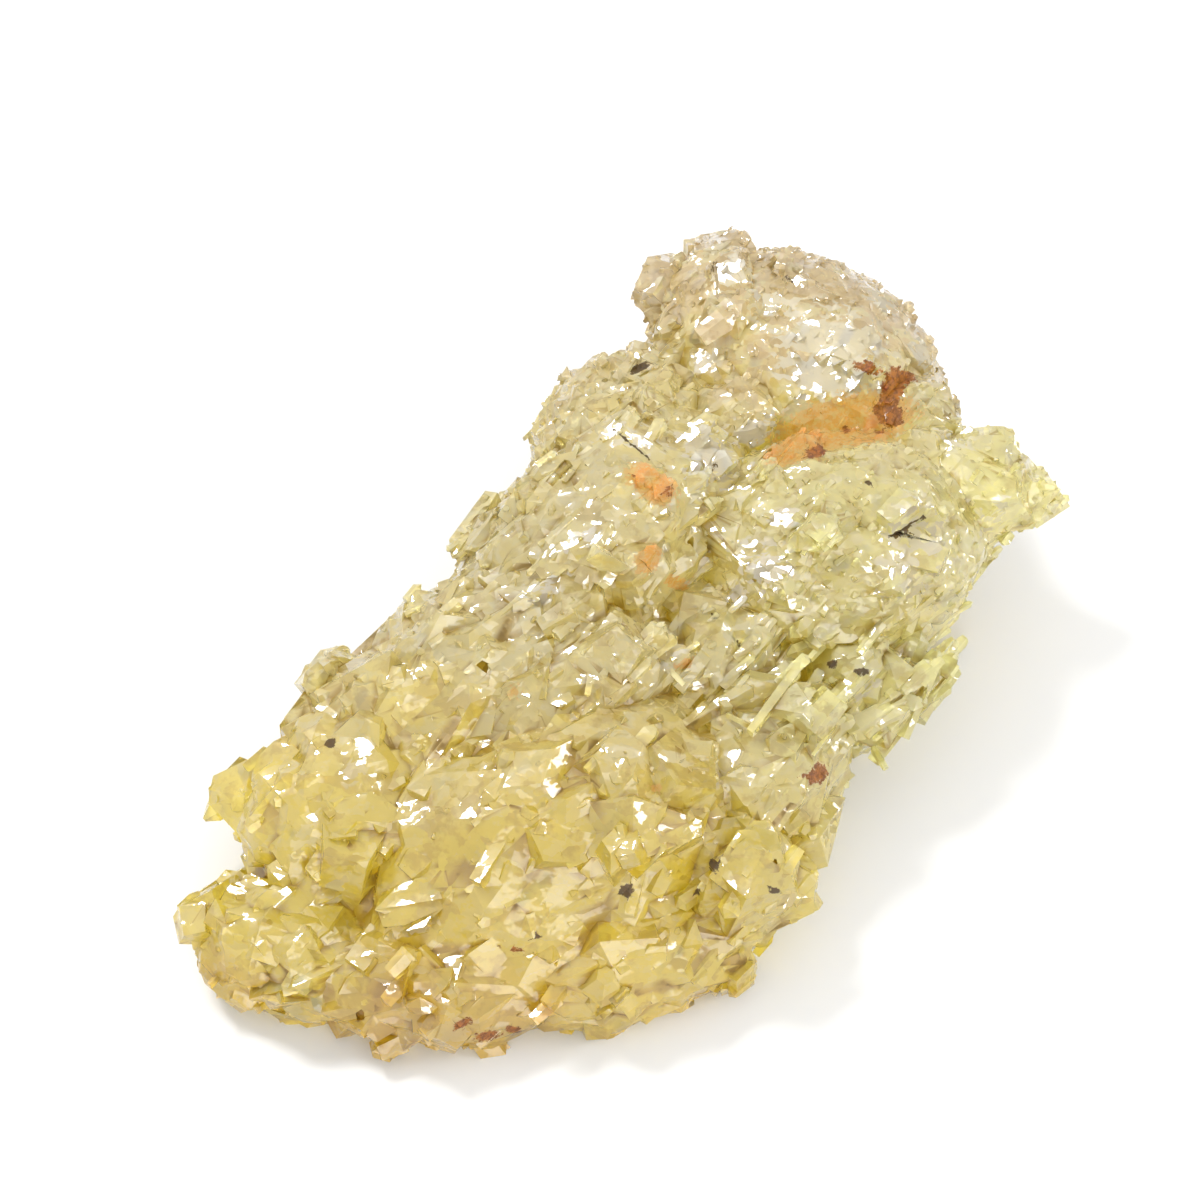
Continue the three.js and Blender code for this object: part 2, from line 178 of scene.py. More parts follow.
# Stains, frosted patches, whose white is partly painted sheen, and dark spots on the face, as seen from the
# front:
# kind, how far right and up, half the length, half the width, the turn in degrees, and the strength.
MARKS = (
    ("stain", 12.2, 8.7, 3.1, 1.3, 15, 1.0),
    ("stain", 9.9, 7.7, 1.8, 0.8, 28, 0.9),
    ("stain", 2.6, 5.9, 1.4, 0.8, -35, 0.8),
    ("stain", 2.5, 2.1, 0.5, 0.7, -30, 1.0),
    ("stain", 3.8, 0.9, 0.6, 0.3, -25, 1.0),
    ("stain", -4.3, -4.5, 0.6, 0.6, 0, 0.4),
    ("stain", 4.2, -3.2, 0.5, 0.2, 15, 1.0),
    ("stain", 2.9, -9.4, 0.6, 0.25, 0, 0.5),
    ("brown", 14.6, 10.5, 1.1, 0.5, 75, 1.0),
    ("brown", 14.4, 9.3, 0.7, 0.5, -40, 1.0),
    ("brown", 15.2, 11.1, 0.6, 0.35, 20, 0.9),
    ("brown", 13.5, 11.6, 0.8, 0.25, -15, 0.9),
    ("brown", 10.8, 7.4, 0.6, 0.3, 30, 0.9),
    ("brown", 12.3, 8.5, 0.3, 0.3, 0, 0.6),
    ("brown", 14.0, 8.4, 0.3, 0.2, 0, 0.6),
    ("brown", 3.3, 5.5, 0.5, 0.3, -30, 0.6),
    ("brown", 1.7, 6.3, 0.3, 0.2, 0, 0.5),
    ("brown", 10.9, -8.7, 0.7, 0.4, 30, 0.8),
    ("brown", -6.9, -21.2, 0.5, 0.2, 25, 0.8),
    ("brown", -5.6, -21.8, 0.7, 0.25, 5, 0.8),
    ("brown", -4.3, -21.5, 0.4, 0.2, -20, 0.8),
    ("brown", -4.5, -17.4, 0.7, 0.15, 0, 0.6),
    ("dark", 2.0, 11.6, 0.8, 0.2, 32, 1.0),
    ("dark", -13.5, -7.15, 0.3, 0.25, 0, 0.9),
    ("dark", 5.7, -13.2, 0.35, 0.25, 60, 0.9),
    ("dark", 1.4, -14.5, 0.35, 0.3, 60, 0.9),
    ("dark", 4.9, -14.6, 0.2, 0.2, 0, 0.8),
    ("dark", 8.75, -14.5, 0.3, 0.2, -45, 0.9),
    ("dark", 13.5, 5.8, 0.3, 0.15, -30, 0.9),
    ("dark", 11.6, -3.2, 0.3, 0.25, 0, 0.8),
    ("dark", 13.1, -3.6, 0.45, 0.2, 0, 0.9),
    ("dark", -3.1, -16.9, 0.2, 0.2, 0, 0.8),
    ("dark", 5.7, 6.6, 0.5, 0.25, 40, 0.6),
    ("dark", 5.7, 16.6, 0.5, 0.25, 70, 0.6),
    ("dark", 9.4, 16.1, 0.6, 0.3, -20, 0.5),
    ("frost_and_sheen", 11.8, 12.9, 2.3, 1.6, -10, 0.9),
    ("frost_and_sheen", 11.2, 11.2, 2.2, 0.9, -5, 1.0),
    ("frost_and_sheen", 5.7, 7.4, 2.0, 1.3, 25, 0.8),
    ("frost_and_sheen", 7.7, 8.4, 1.2, 0.6, 15, 0.9),
    ("frost_and_sheen", 15.6, 2.6, 2.4, 1.5, 70, 0.5),
    ("frost_and_sheen", 1.2, 8.2, 1.4, 0.8, 0, 0.5),
    ("frost_and_sheen", 6.6, 16.3, 1.1, 0.7, 30, 0.8),
    ("frost_and_sheen", 8.6, 14.7, 1.2, 0.6, 10, 0.7),
    ("frost_and_sheen", 5.3, 12.0, 0.9, 0.6, 20, 0.7),
    ("frost_and_sheen", 14.2, 14.9, 1.0, 0.4, -25, 0.7),
    ("frost_and_sheen", 16.0, 12.4, 1.3, 0.4, -60, 0.7),
    ("frost_and_sheen", 8.2, 1.8, 1.3, 0.9, -30, 0.7),
    ("frost_and_sheen", 9.3, 4.2, 0.8, 0.4, 0, 0.6),
    ("frost_and_sheen", 7.2, 0.2, 0.8, 0.5, 20, 0.6),
    ("frost_and_sheen", -1.0, 3.2, 1.0, 0.6, 30, 0.6),
    ("frost_and_sheen", -2.6, 0.6, 0.9, 0.5, 20, 0.6),
    ("frost_and_sheen", 3.2, -2.8, 0.9, 0.5, 30, 0.5),
    ("frost_and_sheen", -12.2, -8.4, 1.0, 0.5, 60, 0.7),
    ("frost_and_sheen", -14.8, -11.6, 1.0, 0.4, 70, 0.7),
    ("frost_and_sheen", -13.4, -14.4, 0.9, 0.5, 40, 0.7),
    ("frost_and_sheen", -9.0, -16.4, 0.9, 0.3, 20, 0.7),
    ("frost_and_sheen", -17.9, -14.2, 1.0, 0.5, 60, 0.6),
    ("frost_and_sheen", 17.6, 8.0, 1.0, 0.5, -30, 0.6),
    ("frost_and_sheen", 19.8, 4.4, 1.2, 0.4, 60, 0.6),
    ("frost_and_sheen", 13.2, -4.6, 0.9, 0.4, 40, 0.5),
    ("frost_and_sheen", 6.0, -8.6, 1.0, 0.4, 50, 0.5),
    ("frost_and_sheen", 11.6, -11.6, 0.9, 0.4, 40, 0.5),
)
# Thin dark cracks on the face: from (right, up) to (right, up).
CRACKS = (
    ((0.7, 8.5), (2.5, 7.0)),
    ((5.6, -0.7), (7.0, -2.3)),
    ((14.4, 3.1), (16.2, 4.2)),
)
CRACK_WIDTH = 0.09
CRACK_DEPTH = 0.7
# How dark a crack's rims are, and how far they reach, in crack widths.
CRACK_DARKNESS = 0.6
CRACK_RIM = 1.2
# How far down a mark reaches at least, in millimetres, and how fast it fades past its ellipse.
MARK_DEPTH = 1.2
MARK_FADE = 0.7
# Near the marks and cracks the mesh's edges are split until they are this short, in this many
# passes at most: out to the margin round each mark, and further round the cracks.
REFINE_LENGTH = 0.3
REFINE_PASSES = 8
REFINE_MARGIN = 0.3
CRACK_MARGIN = 0.4

# Flat facets that show on the face: how far right and up, width, length, turn in degrees, and the
# way it faces as (right, up, out). Most of them throw the key light at the camera.
GLINT_WAY = (-0.25, 0.43, 0.87)
FACETS = (
    (1.6, 1.4, 1.4, 2.0, 30, GLINT_WAY),
    (3.7, -0.1, 1.5, 3.0, -30, GLINT_WAY),
    (15.6, 2.6, 2.8, 4.6, 70, (0.20, 0.10, 0.97)),
    (7.2, -5.4, 3.4, 5.6, 40, (0.05, -0.20, 0.98)),
    (-10.2, -9.2, 0.8, 1.4, 20, GLINT_WAY),
    (-1.9, -5.0, 1.2, 1.4, 20, GLINT_WAY),
    (0.6, 8.4, 1.1, 1.5, 50, GLINT_WAY),
    (2.9, 4.4, 0.9, 1.2, 10, GLINT_WAY),
    (-7.8, 0.7, 0.8, 1.0, 30, GLINT_WAY),
    (-9.0, -16.2, 0.8, 1.6, 20, GLINT_WAY),
)

# How thick and how skewed the facets' crystals are, how far they stand proud, and from how many
# widths of length on they have four sides and not five.
FACET_DEPTH = 3.0
FACET_SKEW = 0.35
FACET_PROUD = 0.12
LONG_FACET = 1.8

# How many times finer the masses' small waves are than the large ones, and how strong they are
# beside them.
FINE_WAVES = 3
FINE_WAVE_SHARE = 0.5

# Corners nearer than this are joined, in millimetres, and edges sharper than this look sharp, in
# degrees. The stone may fill the solid's box times this reach.
MERGE_STEP = 0.0005
SHARP_EDGE = 24
BOX_REACH = 1.015

# How many times the skin is smoothed to find its hollows, and how deep a full one is, in mm.
HOLLOW_STEPS = 3
HOLLOW_DEPTH = 0.3

# The camera looks straight at the face, and its picture is this wide where it meets the face, in
# millimetres. It sees nothing that is nearer than this, in metres.
CAMERA_DISTANCE = 260.0
PICTURE_WIDTH = 60.0
SENSOR_WIDTH = 36.0
NEAREST_SEEN = 0.01

# The softboxes: the way each lies from the stone, in the face's frame, and its width in metres.
SOFTBOXES = {
    "key": ((-0.45, 0.75, 0.5), 0.11),
    "fill": ((0.9, 0.25, 0.35), 0.16),
    "front": ((0.25, -0.65, 0.8), 0.45),
}
LIGHT_DISTANCE = 0.5
LIT_HEIGHT = 0.006
# How much stronger the front softbox is than the fill light.
FRONT_SHARE = 1.5
# How often light turns inside the stone before it is given up.
LIGHT_BOUNCES = 6


def face_to_frame():
    """The matrix that takes a point of the face's own frame to the loaded frame, both in mm."""
    lean = Matrix.Rotation(math.pi / 2 - LEAN_BACK, 4, "X")
    turn = Matrix.Rotation(LONG_AXIS_TURN, 4, "Z")
    lift = Matrix.Translation((0, -TABLE_LINE, 0))
    return Matrix.Translation(CENTRING) @ turn @ lean @ lift


# Meshes


def corners_of(mesh):
    """A mesh's corner points as an array."""
    flat = np.zeros(len(mesh.vertices) * 3, np.float32)
    mesh.vertices.foreach_get("co", flat)
    return flat.reshape(-1, 3).astype(float)


def triangles_of(mesh):
    """The corner numbers of a mesh's triangles."""
    mesh.calc_loop_triangles()
    flat = np.zeros(len(mesh.loop_triangles) * 3, np.int32)
    mesh.loop_triangles.foreach_get("vertices", flat)
    return flat.reshape(-1, 3)


def closed_copy(mesh, matrix):
    """A copy of a mesh in another frame, with corners that share a place joined."""
    points = corners_of(mesh) @ np.array(matrix.to_3x3()).T + np.array(matrix.translation)
    keys, where = np.unique(np.round(points / MERGE_STEP).astype(np.int64), axis=0, return_inverse=True)
    where = where.reshape(-1)
    merged = np.zeros((len(keys), 3))
    merged[where] = points
    faces = where[triangles_of(mesh)]
    whole = (faces[:, 0] != faces[:, 1]) & (faces[:, 1] != faces[:, 2]) & (faces[:, 2] != faces[:, 0])
    copy = bpy.data.meshes.new(mesh.name + "_copy")
    copy.from_pydata(merged.tolist(), [], faces[whole].tolist())
    return copy


def modify(solid, kind, **settings):
    """Puts a modifier on the solid and keeps its result as the solid's mesh."""
    modifier = solid.modifiers.new(kind.lower(), kind)
    for name, value in settings.items():
        setattr(modifier, name, value)
    evaluated = solid.evaluated_get(bpy.context.evaluated_depsgraph_get())
    made = bpy.data.meshes.new_from_object(evaluated)
    solid.modifiers.remove(modifier)
    if not made.polygons:
        raise RuntimeError(f"the {kind.lower()} modifier left nothing of {solid.name}")
    old = solid.data
    solid.data = made
    bpy.data.meshes.remove(old)


def boolean(solid, tool_mesh, operation):
    """Joins the tool to the solid, cuts it away, or keeps what they share."""
    tool = bpy.data.objects.new("tool", tool_mesh)
    bpy.context.scene.collection.objects.link(tool)
    modify(solid, "BOOLEAN", operation=operation, solver="MANIFOLD", object=tool)
    bpy.data.objects.remove(tool)


def crystal_form(sides, radius, length, shoulder, top):
    """A beryl crystal along z, as points and faces: a prism that narrows to a flat or pointed end."""
    half = length / 2
    rings = [(FOOT_TAPER * radius, -half), (radius, half - radius * shoulder)]
    if top > 0:
        rings.append((top * radius, half))
    turns = [2 * math.pi * k / sides for k in range(sides)]
    points = [(r * math.cos(a), r * math.sin(a), z) for r, z in rings for a in turns]
    faces = [tuple(reversed(range(sides)))]
    for ring in range(len(rings) - 1):
        low = ring * sides
        for k in range(sides):
            after = (k + 1) % sides
            faces.append((low + k, low + after, low + sides + after, low + sides + k))
    last = (len(rings) - 1) * sides
    if top > 0:
        faces.append(tuple(range(last, last + sides)))
    else:
        points.append((0, 0, half))
        faces.extend((last + k, last + (k + 1) % sides, len(points) - 1) for k in range(sides))
    return np.array(points), faces


# Spots on the skin


def zone_of(points, normals):
    """The name of the zone that each point of the skin is in."""
    to_table = np.array(face_to_frame().to_3x3().inverted() @ Vector((0, 0, -1)))
    x, y, z = points.T
    zones = np.where(y > BELLY_EDGE + BELLY_EDGE_SLOPE * x, "middle", "belly").astype(object)
    zones[(x > TEETH_CORNER[0]) & (y > TEETH_CORNER[1])] = "teeth"
    zones[(x > BLOCK_CORNER[0]) & (y > BLOCK_CORNER[1])] = "block"
    zones[(y > CROWN_FOOT) | ((y > BACK_CROWN_FOOT) & (z < BACK_CROWN_DEPTH))] = "crown"
    zones[normals @ to_table > UNDERSIDE] = "under"
    return zones


def spots_on(mesh, recipe, rng):
    """Spots spread over a mesh's skin, no two nearer than their zone's spacing: point, normal and zone."""
    points = corners_of(mesh)
    faces = points[triangles_of(mesh)]
    crosses = np.cross(faces[:, 1] - faces[:, 0], faces[:, 2] - faces[:, 0])
    areas = np.linalg.norm(crosses, axis=1) / 2
    normals = crosses / np.maximum(2 * areas, 1e-12)[:, None]
    chosen = rng.choice(len(faces), SPOT_TRIES, p=areas / areas.sum())
    s, t = rng.random(SPOT_TRIES), rng.random(SPOT_TRIES)
    over = s + t > 1
    s[over], t[over] = 1 - s[over], 1 - t[over]
    a, b, c = faces[chosen, 0], faces[chosen, 1], faces[chosen, 2]
    tries = a + (b - a) * s[:, None] + (c - a) * t[:, None]
    ways = normals[chosen]
    zones = zone_of(tries, ways)
    cell = max(zone["spacing"] for zone in recipe.values())
    cells, kept = {}, []
    for i, point in enumerate(tries):
        spacing = recipe[zones[i]]["spacing"]
        home = tuple(np.floor(point / cell).astype(int))
        near = (
            other
            for dx in (-1, 0, 1) for dy in (-1, 0, 1) for dz in (-1, 0, 1)
            for other in cells.get((home[0] + dx, home[1] + dy, home[2] + dz), ())
        )
        if any(((other - point) ** 2).sum() < spacing * spacing for other in near):
            continue
        cells.setdefault(home, []).append(point)
        kept.append((point, ways[i], zones[i]))
    return kept


def grown_crystal(spot, recipe, rng):
    """One crystal at a spot of the skin: its points and faces, and the ball that holds it."""
    point, normal, zone_name = spot
    zone = recipe[zone_name]
    radius = rng.uniform(*zone["width"]) / 2
    length = rng.uniform(*zone["length"])
    top = 0 if rng.random() < POINTED_SHARE else rng.uniform(*FLAT_END)
    shoulder = rng.uniform(*SHOULDER)
    points, faces = crystal_form(rng.choice(SIDE_COUNTS), radius, length, shoulder, top)
    outward = Vector(normal)
    sense = -1 if outward.dot(C_AXIS) < TURNED_ROUND else 1
    stray = Vector(rng.normal(size=3))
    if rng.random() < zone["aligned"]:
        axis = C_AXIS * sense + stray * ALIGNED_STRAY
        spin = rng.normal() * ALIGNED_STRAY + LATTICE_TURN
    else:
        axis = outward * OUTWARD_PULL + C_AXIS * (C_AXIS_PULL * sense) + stray * FREE_STRAY
        spin = rng.uniform(0, 2 * math.pi)
    turn = axis.to_track_quat("Z", "Y").to_matrix() @ Matrix.Rotation(spin, 3, "Z")
    points[:, 1] *= rng.uniform(*FLATNESS)
    points = points @ np.array(turn).T
    reach = (points @ normal).max()
    points += point + normal * (rng.uniform(*zone["proud"]) - reach)
    centre = points.mean(axis=0)
    hold = np.linalg.norm(points - centre, axis=1).max()
    return points, faces, centre, hold


def apart(crystals):
    """The crystals in batches, none of which holds two that touch."""
    batches = []
    for crystal in crystals:
        centre, hold = crystal[2], crystal[3]
        for batch in batches:
            gaps = np.linalg.norm(np.array(batch["centres"]) - centre, axis=1)
            if (gaps - np.array(batch["holds"])).min() > hold:
                break
        else:
            batch = {"centres": [], "holds": [], "crystals": []}
            batches.append(batch)
        batch["centres"].append(centre)
        batch["holds"].append(hold)
        batch["crystals"].append(crystal)
    return [batch["crystals"] for batch in batches]


def joined_mesh(crystals):
    """One mesh of several crystals."""
    points, faces, first = [], [], 0
    for crystal in crystals:
        points.extend(crystal[0].tolist())
        faces.extend(tuple(first + k for k in face) for face in crystal[1])
        first = len(points)
    mesh = bpy.data.meshes.new("crystals")
    mesh.from_pydata(points, [], faces)
    return mesh


def grow(solid, recipe, rng, operation="UNION"):
    """Grows a layer of small crystals on the solid, or etches their shapes out of it."""
    crystals = [grown_crystal(spot, recipe, rng) for spot in spots_on(solid.data, recipe, rng)]
    for batch in apart(crystals):
        boolean(solid, joined_mesh(batch), operation)


def add_masses(solid):
    """Fills out the stone's masses, so that only small crystals stand out of them."""
    for kind, centre, half, turn in MASSES:
        skin = MASS_KINDS[kind]
        ball = bmesh.new()
        bmesh.ops.create_icosphere(ball, subdivisions=skin["cuts"], radius=1.0)
        sizes = Vector(half) - Vector((skin["inset"],) * 3)
        turned = Matrix.Translation(centre) @ Matrix.Rotation(math.radians(turn), 4, "Z")
        place = turned @ Matrix.Diagonal((*sizes, 1))
        for corner in ball.verts:
            spot = place @ corner.co
            fine_wave = noise.noise(spot * skin["waves"] * FINE_WAVES)
            wave = noise.noise(spot * skin["waves"]) + FINE_WAVE_SHARE * fine_wave
            corner.co = spot + (spot - Vector(centre)).normalized() * wave * skin["wave"]
        mesh = bpy.data.meshes.new("mass")
        ball.to_mesh(mesh)
        ball.free()
        boolean(solid, mesh, "UNION")


# Features that are seen on the face


def seen_point(tree, right, up):
    """The point of the skin that the camera sees at a place on the face's plane."""
    eye = Vector((0, 0, CAMERA_DISTANCE))
    way = (Vector((right, up, 0)) - eye).normalized()
    point = tree.ray_cast(eye, way)[0]
    if point is None:
        raise RuntimeError(f"nothing is seen at {right}, {up} on the face")
    return point


def skin_tree(mesh):
    return BVHTree.FromPolygons(corners_of(mesh).tolist(), triangles_of(mesh).tolist())


def add_facets(solid):
    """Adds the flat facets that show on the face, each as the end of a flat crystal."""
    for right, up, width, length, turn, faces_to in FACETS:
        point = seen_point(skin_tree(solid.data), right, up)
        sides = 4 if length > LONG_FACET * width else 5
        points, faces = crystal_form(sides, radius=0.5, length=1.0, shoulder=0.5, top=0.85)
        points *= (width, length, FACET_DEPTH)
        points[:, 0] += points[:, 1] * FACET_SKEW
        points[:, 2] -= FACET_DEPTH / 2
        way = Vector(faces_to).normalized()
        spin = Matrix.Rotation(math.radians(turn - 90), 3, "Z")
        upright = way.to_track_quat("Z", "Y").to_matrix() @ spin
        points = points @ np.array(upright).T + np.array(point + way * FACET_PROUD)
        boolean(solid, joined_mesh([(points, faces)]), "UNION")


def cut_cracks(solid):
    """Cuts the thin cracks into the face."""
    for start, end in CRACKS:
        tree = skin_tree(solid.data)
        a, b = seen_point(tree, *start), seen_point(tree, *end)
        along = (b - a).normalized()
        out = Vector((0, 0, 1))
        across = along.cross(out).normalized() * CRACK_WIDTH / 2
        deep = out * CRACK_DEPTH
        points = [
            a + across + out, a - across + out, b - across + out, b + across + out,
            a - deep, b - deep,
        ]
        faces = [(0, 1, 2, 3), (1, 0, 4), (2, 1, 4, 5), (3, 2, 5), (0, 3, 5, 4)]
        boolean(solid, joined_mesh([(np.array(points), faces)]), "DIFFERENCE")


def trim_to_table(solid):
    """Cuts the stone off at the table, and at the sides of the box that it may fill."""
    low, high = (np.array(corner) / MM * BOX_REACH for corner in CAD_BOX)
    outline = ((low[0], low[1]), (high[0], low[1]), (high[0], high[1]), (low[0], high[1]))
    points = np.array([(x, y, z) for z in (0, high[2]) for x, y in outline])
    faces = [(3, 2, 1, 0), (4, 5, 6, 7), (0, 1, 5, 4), (1, 2, 6, 5), (2, 3, 7, 6), (3, 0, 4, 7)]
    back = np.array(face_to_frame().inverted())
    points = points @ back[:3, :3].T + back[:3, 3]
    boolean(solid, joined_mesh([(points, faces)]), "INTERSECT")


def refine_near_marks(solid):
    """Splits the long edges near each mark, so that its outline has corners to follow."""
    before = skin_tree(solid.data)
    spots = [(seen_point(before, right, up), half_long) for _, right, up, half_long, *_ in MARKS]
    for start, end in CRACKS:
        for share in (0, 0.5, 1):
            right, up = (a + (b - a) * share for a, b in zip(start, end))
            spots.append((seen_point(before, right, up), CRACK_MARGIN))
    mesh = bmesh.new()
    mesh.from_mesh(solid.data)
    for _ in range(REFINE_PASSES):
        mesh.verts.index_update()
        mesh.edges.ensure_lookup_table()
        places = np.array([corner.co for corner in mesh.verts])
        ends = np.array([[corner.index for corner in edge.verts] for edge in mesh.edges])
        middles = places[ends].mean(axis=1)
        lengths = np.linalg.norm(places[ends[:, 0]] - places[ends[:, 1]], axis=1)
        near = np.zeros(len(ends), bool)
        for spot, reach in spots:
            away = np.linalg.norm(middles - np.array(spot), axis=1)
            near |= away < reach + REFINE_MARGIN + lengths / 2
        long_ones = np.nonzero(near & (lengths > REFINE_LENGTH))[0]
        # The longest edges are split first, and no face has two of its edges split in one pass.
        chosen, taken = [], set()
        for index in long_ones[np.argsort(-lengths[long_ones], kind="stable")]:
            edge = mesh.edges[index]
            if taken.isdisjoint(edge.link_faces):
                chosen.append(edge)
                taken.update(edge.link_faces)
        bmesh.ops.subdivide_edges(mesh, edges=chosen, cuts=1, use_single_edge=True)
    mesh.to_mesh(solid.data)
    mesh.free()


def paint_marks(solid, before):
    """Stores, at each corner of the mesh, how much of each kind of mark it has."""
    points = corners_of(solid.data)
    weights = {kind: np.zeros(len(points)) for kind in ("stain", "brown", "dark", "frost_and_sheen")}
    for kind, right, up, half_long, half_wide, turn, strength in MARKS:
        centre = np.array(seen_point(before, right, up))
        away = points - centre
        cos, sin = math.cos(math.radians(turn)), math.sin(math.radians(turn))
        along = (away[:, 0] * cos + away[:, 1] * sin) / half_long
        across = (away[:, 1] * cos - away[:, 0] * sin) / half_wide
        deep = away[:, 2] / max(half_long, MARK_DEPTH)
        near = np.exp(-(along ** 2 + across ** 2 + deep ** 2) * MARK_FADE)
        weights[kind] = np.maximum(weights[kind], near * strength)
    for start, end in CRACKS:
        a, b = np.array(seen_point(before, *start)), np.array(seen_point(before, *end))
        share = np.clip((points - a) @ (b - a) / ((b - a) @ (b - a)), 0, 1)
        gap = np.linalg.norm(points - a - share[:, None] * (b - a), axis=1)
        rim = np.where(gap < CRACK_WIDTH * CRACK_RIM, CRACK_DARKNESS, 0)
        weights["dark"] = np.maximum(weights["dark"], rim)
    for kind, values in weights.items():
        attribute = solid.data.attributes.new(kind, "FLOAT", "POINT")
        attribute.data.foreach_set("value", values.astype(np.float32))


def paint_hollows(solid):
    """Stores how deep each corner lies in a hollow between crystals, for the painted shade there: 0.5 is
    level, 1 is deep.
    """
    mesh = solid.data
    points = corners_of(mesh)
    edges = np.zeros(len(mesh.edges) * 2, np.int32)
    mesh.edges.foreach_get("vertices", edges)
    a, b = edges.reshape(-1, 2).T
    ways = np.zeros(len(points) * 3, np.float32)
    mesh.vertex_normals.foreach_get("vector", ways)
    ways = ways.reshape(-1, 3)
    degree = np.bincount(a, minlength=len(points)) + np.bincount(b, minlength=len(points))
    smooth = points.copy()
    for _ in range(HOLLOW_STEPS):
        total = np.column_stack([
            np.bincount(a, smooth[b, k], len(points)) + np.bincount(b, smooth[a, k], len(points))
            for k in range(3)
        ])
        smooth = total / np.maximum(degree, 1)[:, None]
    depth = ((smooth - points) * ways).sum(axis=1)
    attribute = mesh.attributes.new("hollow", "FLOAT", "POINT")
    attribute.data.foreach_set("value", np.clip(0.5 + depth / HOLLOW_DEPTH, 0, 1).astype(np.float32))


def make_stone_mesh(settings):
    """The stone, with all its small crystals, pits and marks, as an object in metres."""
    rng = np.random.default_rng(settings.seed)
    to_frame = face_to_frame()
    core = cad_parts[STONE_NODE].data
    in_face = closed_copy(core, to_frame.inverted() @ Matrix.Scale(1 / MM, 4))
    stone = bpy.data.objects.new(PIECE_NAME, in_face)
    bpy.context.scene.collection.objects.link(stone)
    add_masses(stone)
    grow(stone, LAYERS["blades"], rng)
    grow(stone, PITS, rng, "DIFFERENCE")
    grow(stone, LAYERS["grains"], rng)
    add_facets(stone)
    cut_cracks(stone)
    trim_to_table(stone)
    refine_near_marks(stone)
    paint_marks(stone, skin_tree(stone.data))
    paint_hollows(stone)
    stone.data.transform(Matrix.Scale(MM, 4) @ to_frame)
    points = corners_of(stone.data)
    points[:, 2] = np.maximum(points[:, 2], 0)
    stone.data.vertices.foreach_set("co", points.astype(np.float32).ravel())
    stone.data.update()
    stone.data.shade_smooth()
    stone.data.set_sharp_from_angle(angle=math.radians(SHARP_EDGE))
    return stone


# Materials


# How many times longer than wide the facets are, along the c axis.
FACET_STRETCH = 2.0


class Nodes:
    """A material's nodes, made by short calls."""

    def __init__(self, tree):
        self.tree = tree
        tree.nodes.clear()

    def add(self, kind, values=None, **settings):
        node = self.tree.nodes.new(kind)
        for name, value in settings.items():
            setattr(node, name, value)
        for name, value in (values or {}).items():
            socket = node.inputs[name]
            if isinstance(value, bpy.types.NodeSocket):
                self.tree.links.new(value, socket)
            else:
                socket.default_value = value
        return node

    def math(self, operation, *values, clamp=False):
        node = self.add("ShaderNodeMath", dict(enumerate(values)), operation=operation, use_clamp=clamp)
        return node.outputs[0]

    def vector(self, operation, *values):
        """Adds, multiplies or otherwise works on vectors. A bare number stands for all three parts."""
        triples = {
            index: (value,) * 3 if isinstance(value, (int, float)) else value
            for index, value in enumerate(values)
        }
        return self.add("ShaderNodeVectorMath", triples, operation=operation).outputs[0]

    def mix(self, share, low, high, blend="MIX"):
        node = self.add("ShaderNodeMix", data_type="RGBA", blend_type=blend)
        for index, value in ((0, share), (6, low), (7, high)):
            if isinstance(value, bpy.types.NodeSocket):
                self.tree.links.new(value, node.inputs[index])
            else:
                node.inputs[index].default_value = value
        return node.outputs[2]

    def ramp(self, value, low, high):
        """0 below low and 1 above high, with a soft change between them."""
        node = self.add(
            "ShaderNodeMapRange",
            {"Value": value, "From Min": low, "From Max": high},
            interpolation_type="SMOOTHSTEP",
        )
        return node.outputs["Result"]

    def attribute(self, name):
        return self.add("ShaderNodeAttribute", attribute_name=name).outputs["Fac"]

    def noise(self, where, scale, detail=3.0, roughness=0.6):
        node = self.add(
            "ShaderNodeTexNoise",
            {"Vector": where, "Scale": scale, "Detail": detail, "Roughness": roughness},
        )
        return node.outputs["Fac"]

    def facets(self, where, per_mm):
        """Cells that are longer along the c axis, each with a colour of its own."""
        lie = C_AXIS.to_track_quat("X", "Z").inverted().to_euler()
        lengthwise = self.add(
            "ShaderNodeMapping",
            {"Vector": where, "Rotation": lie, "Scale": (1 / FACET_STRETCH, 1, 1)},
            vector_type="POINT",
        ).outputs[0]
        cells = self.add(
            "ShaderNodeTexVoronoi",
            {"Vector": lengthwise, "Scale": per_mm},
            feature="F1",
            distance="CHEBYCHEV",
        )
        return cells.outputs["Color"]


def rgba(colour):
    return (*colour, 1.0)


def face_coordinates(nodes):
    """The place on the face, in mm, and its right and up parts."""
    place = nodes.add("ShaderNodeTexCoord").outputs["Object"]
    back = (Matrix.Scale(MM, 4) @ face_to_frame()).inverted()
    turn = back.to_euler()
    mapped = nodes.add(
        "ShaderNodeMapping",
        {
            "Vector": place,
            "Location": back.translation,
            "Rotation": turn,
            "Scale": (1 / MM, 1 / MM, 1 / MM),
        },
        vector_type="POINT",
    ).outputs[0]
    parts = nodes.add("ShaderNodeSeparateXYZ", {"Vector": mapped})
    return mapped, parts.outputs["X"], parts.outputs["Y"]


# Heights on the face, in millimetres, between which one colour gives way to the next, and the same
# for the greenish right side, whose edge slants. Slow noise shifts them all by up to half the drift.
DRIFT = 14.0
DRIFT_SCALE = 0.16
HONEY_HEIGHTS = (-1.0, -12.0)
CROWN_HEIGHTS = (7.0, 15.0)
AMBER_HEIGHTS = (-16.0, -22.0)
GREEN_HEIGHTS = (12.0, 4.0)
GREEN_SIDES = (2.0, 13.0)
GREEN_SLANT = 0.35


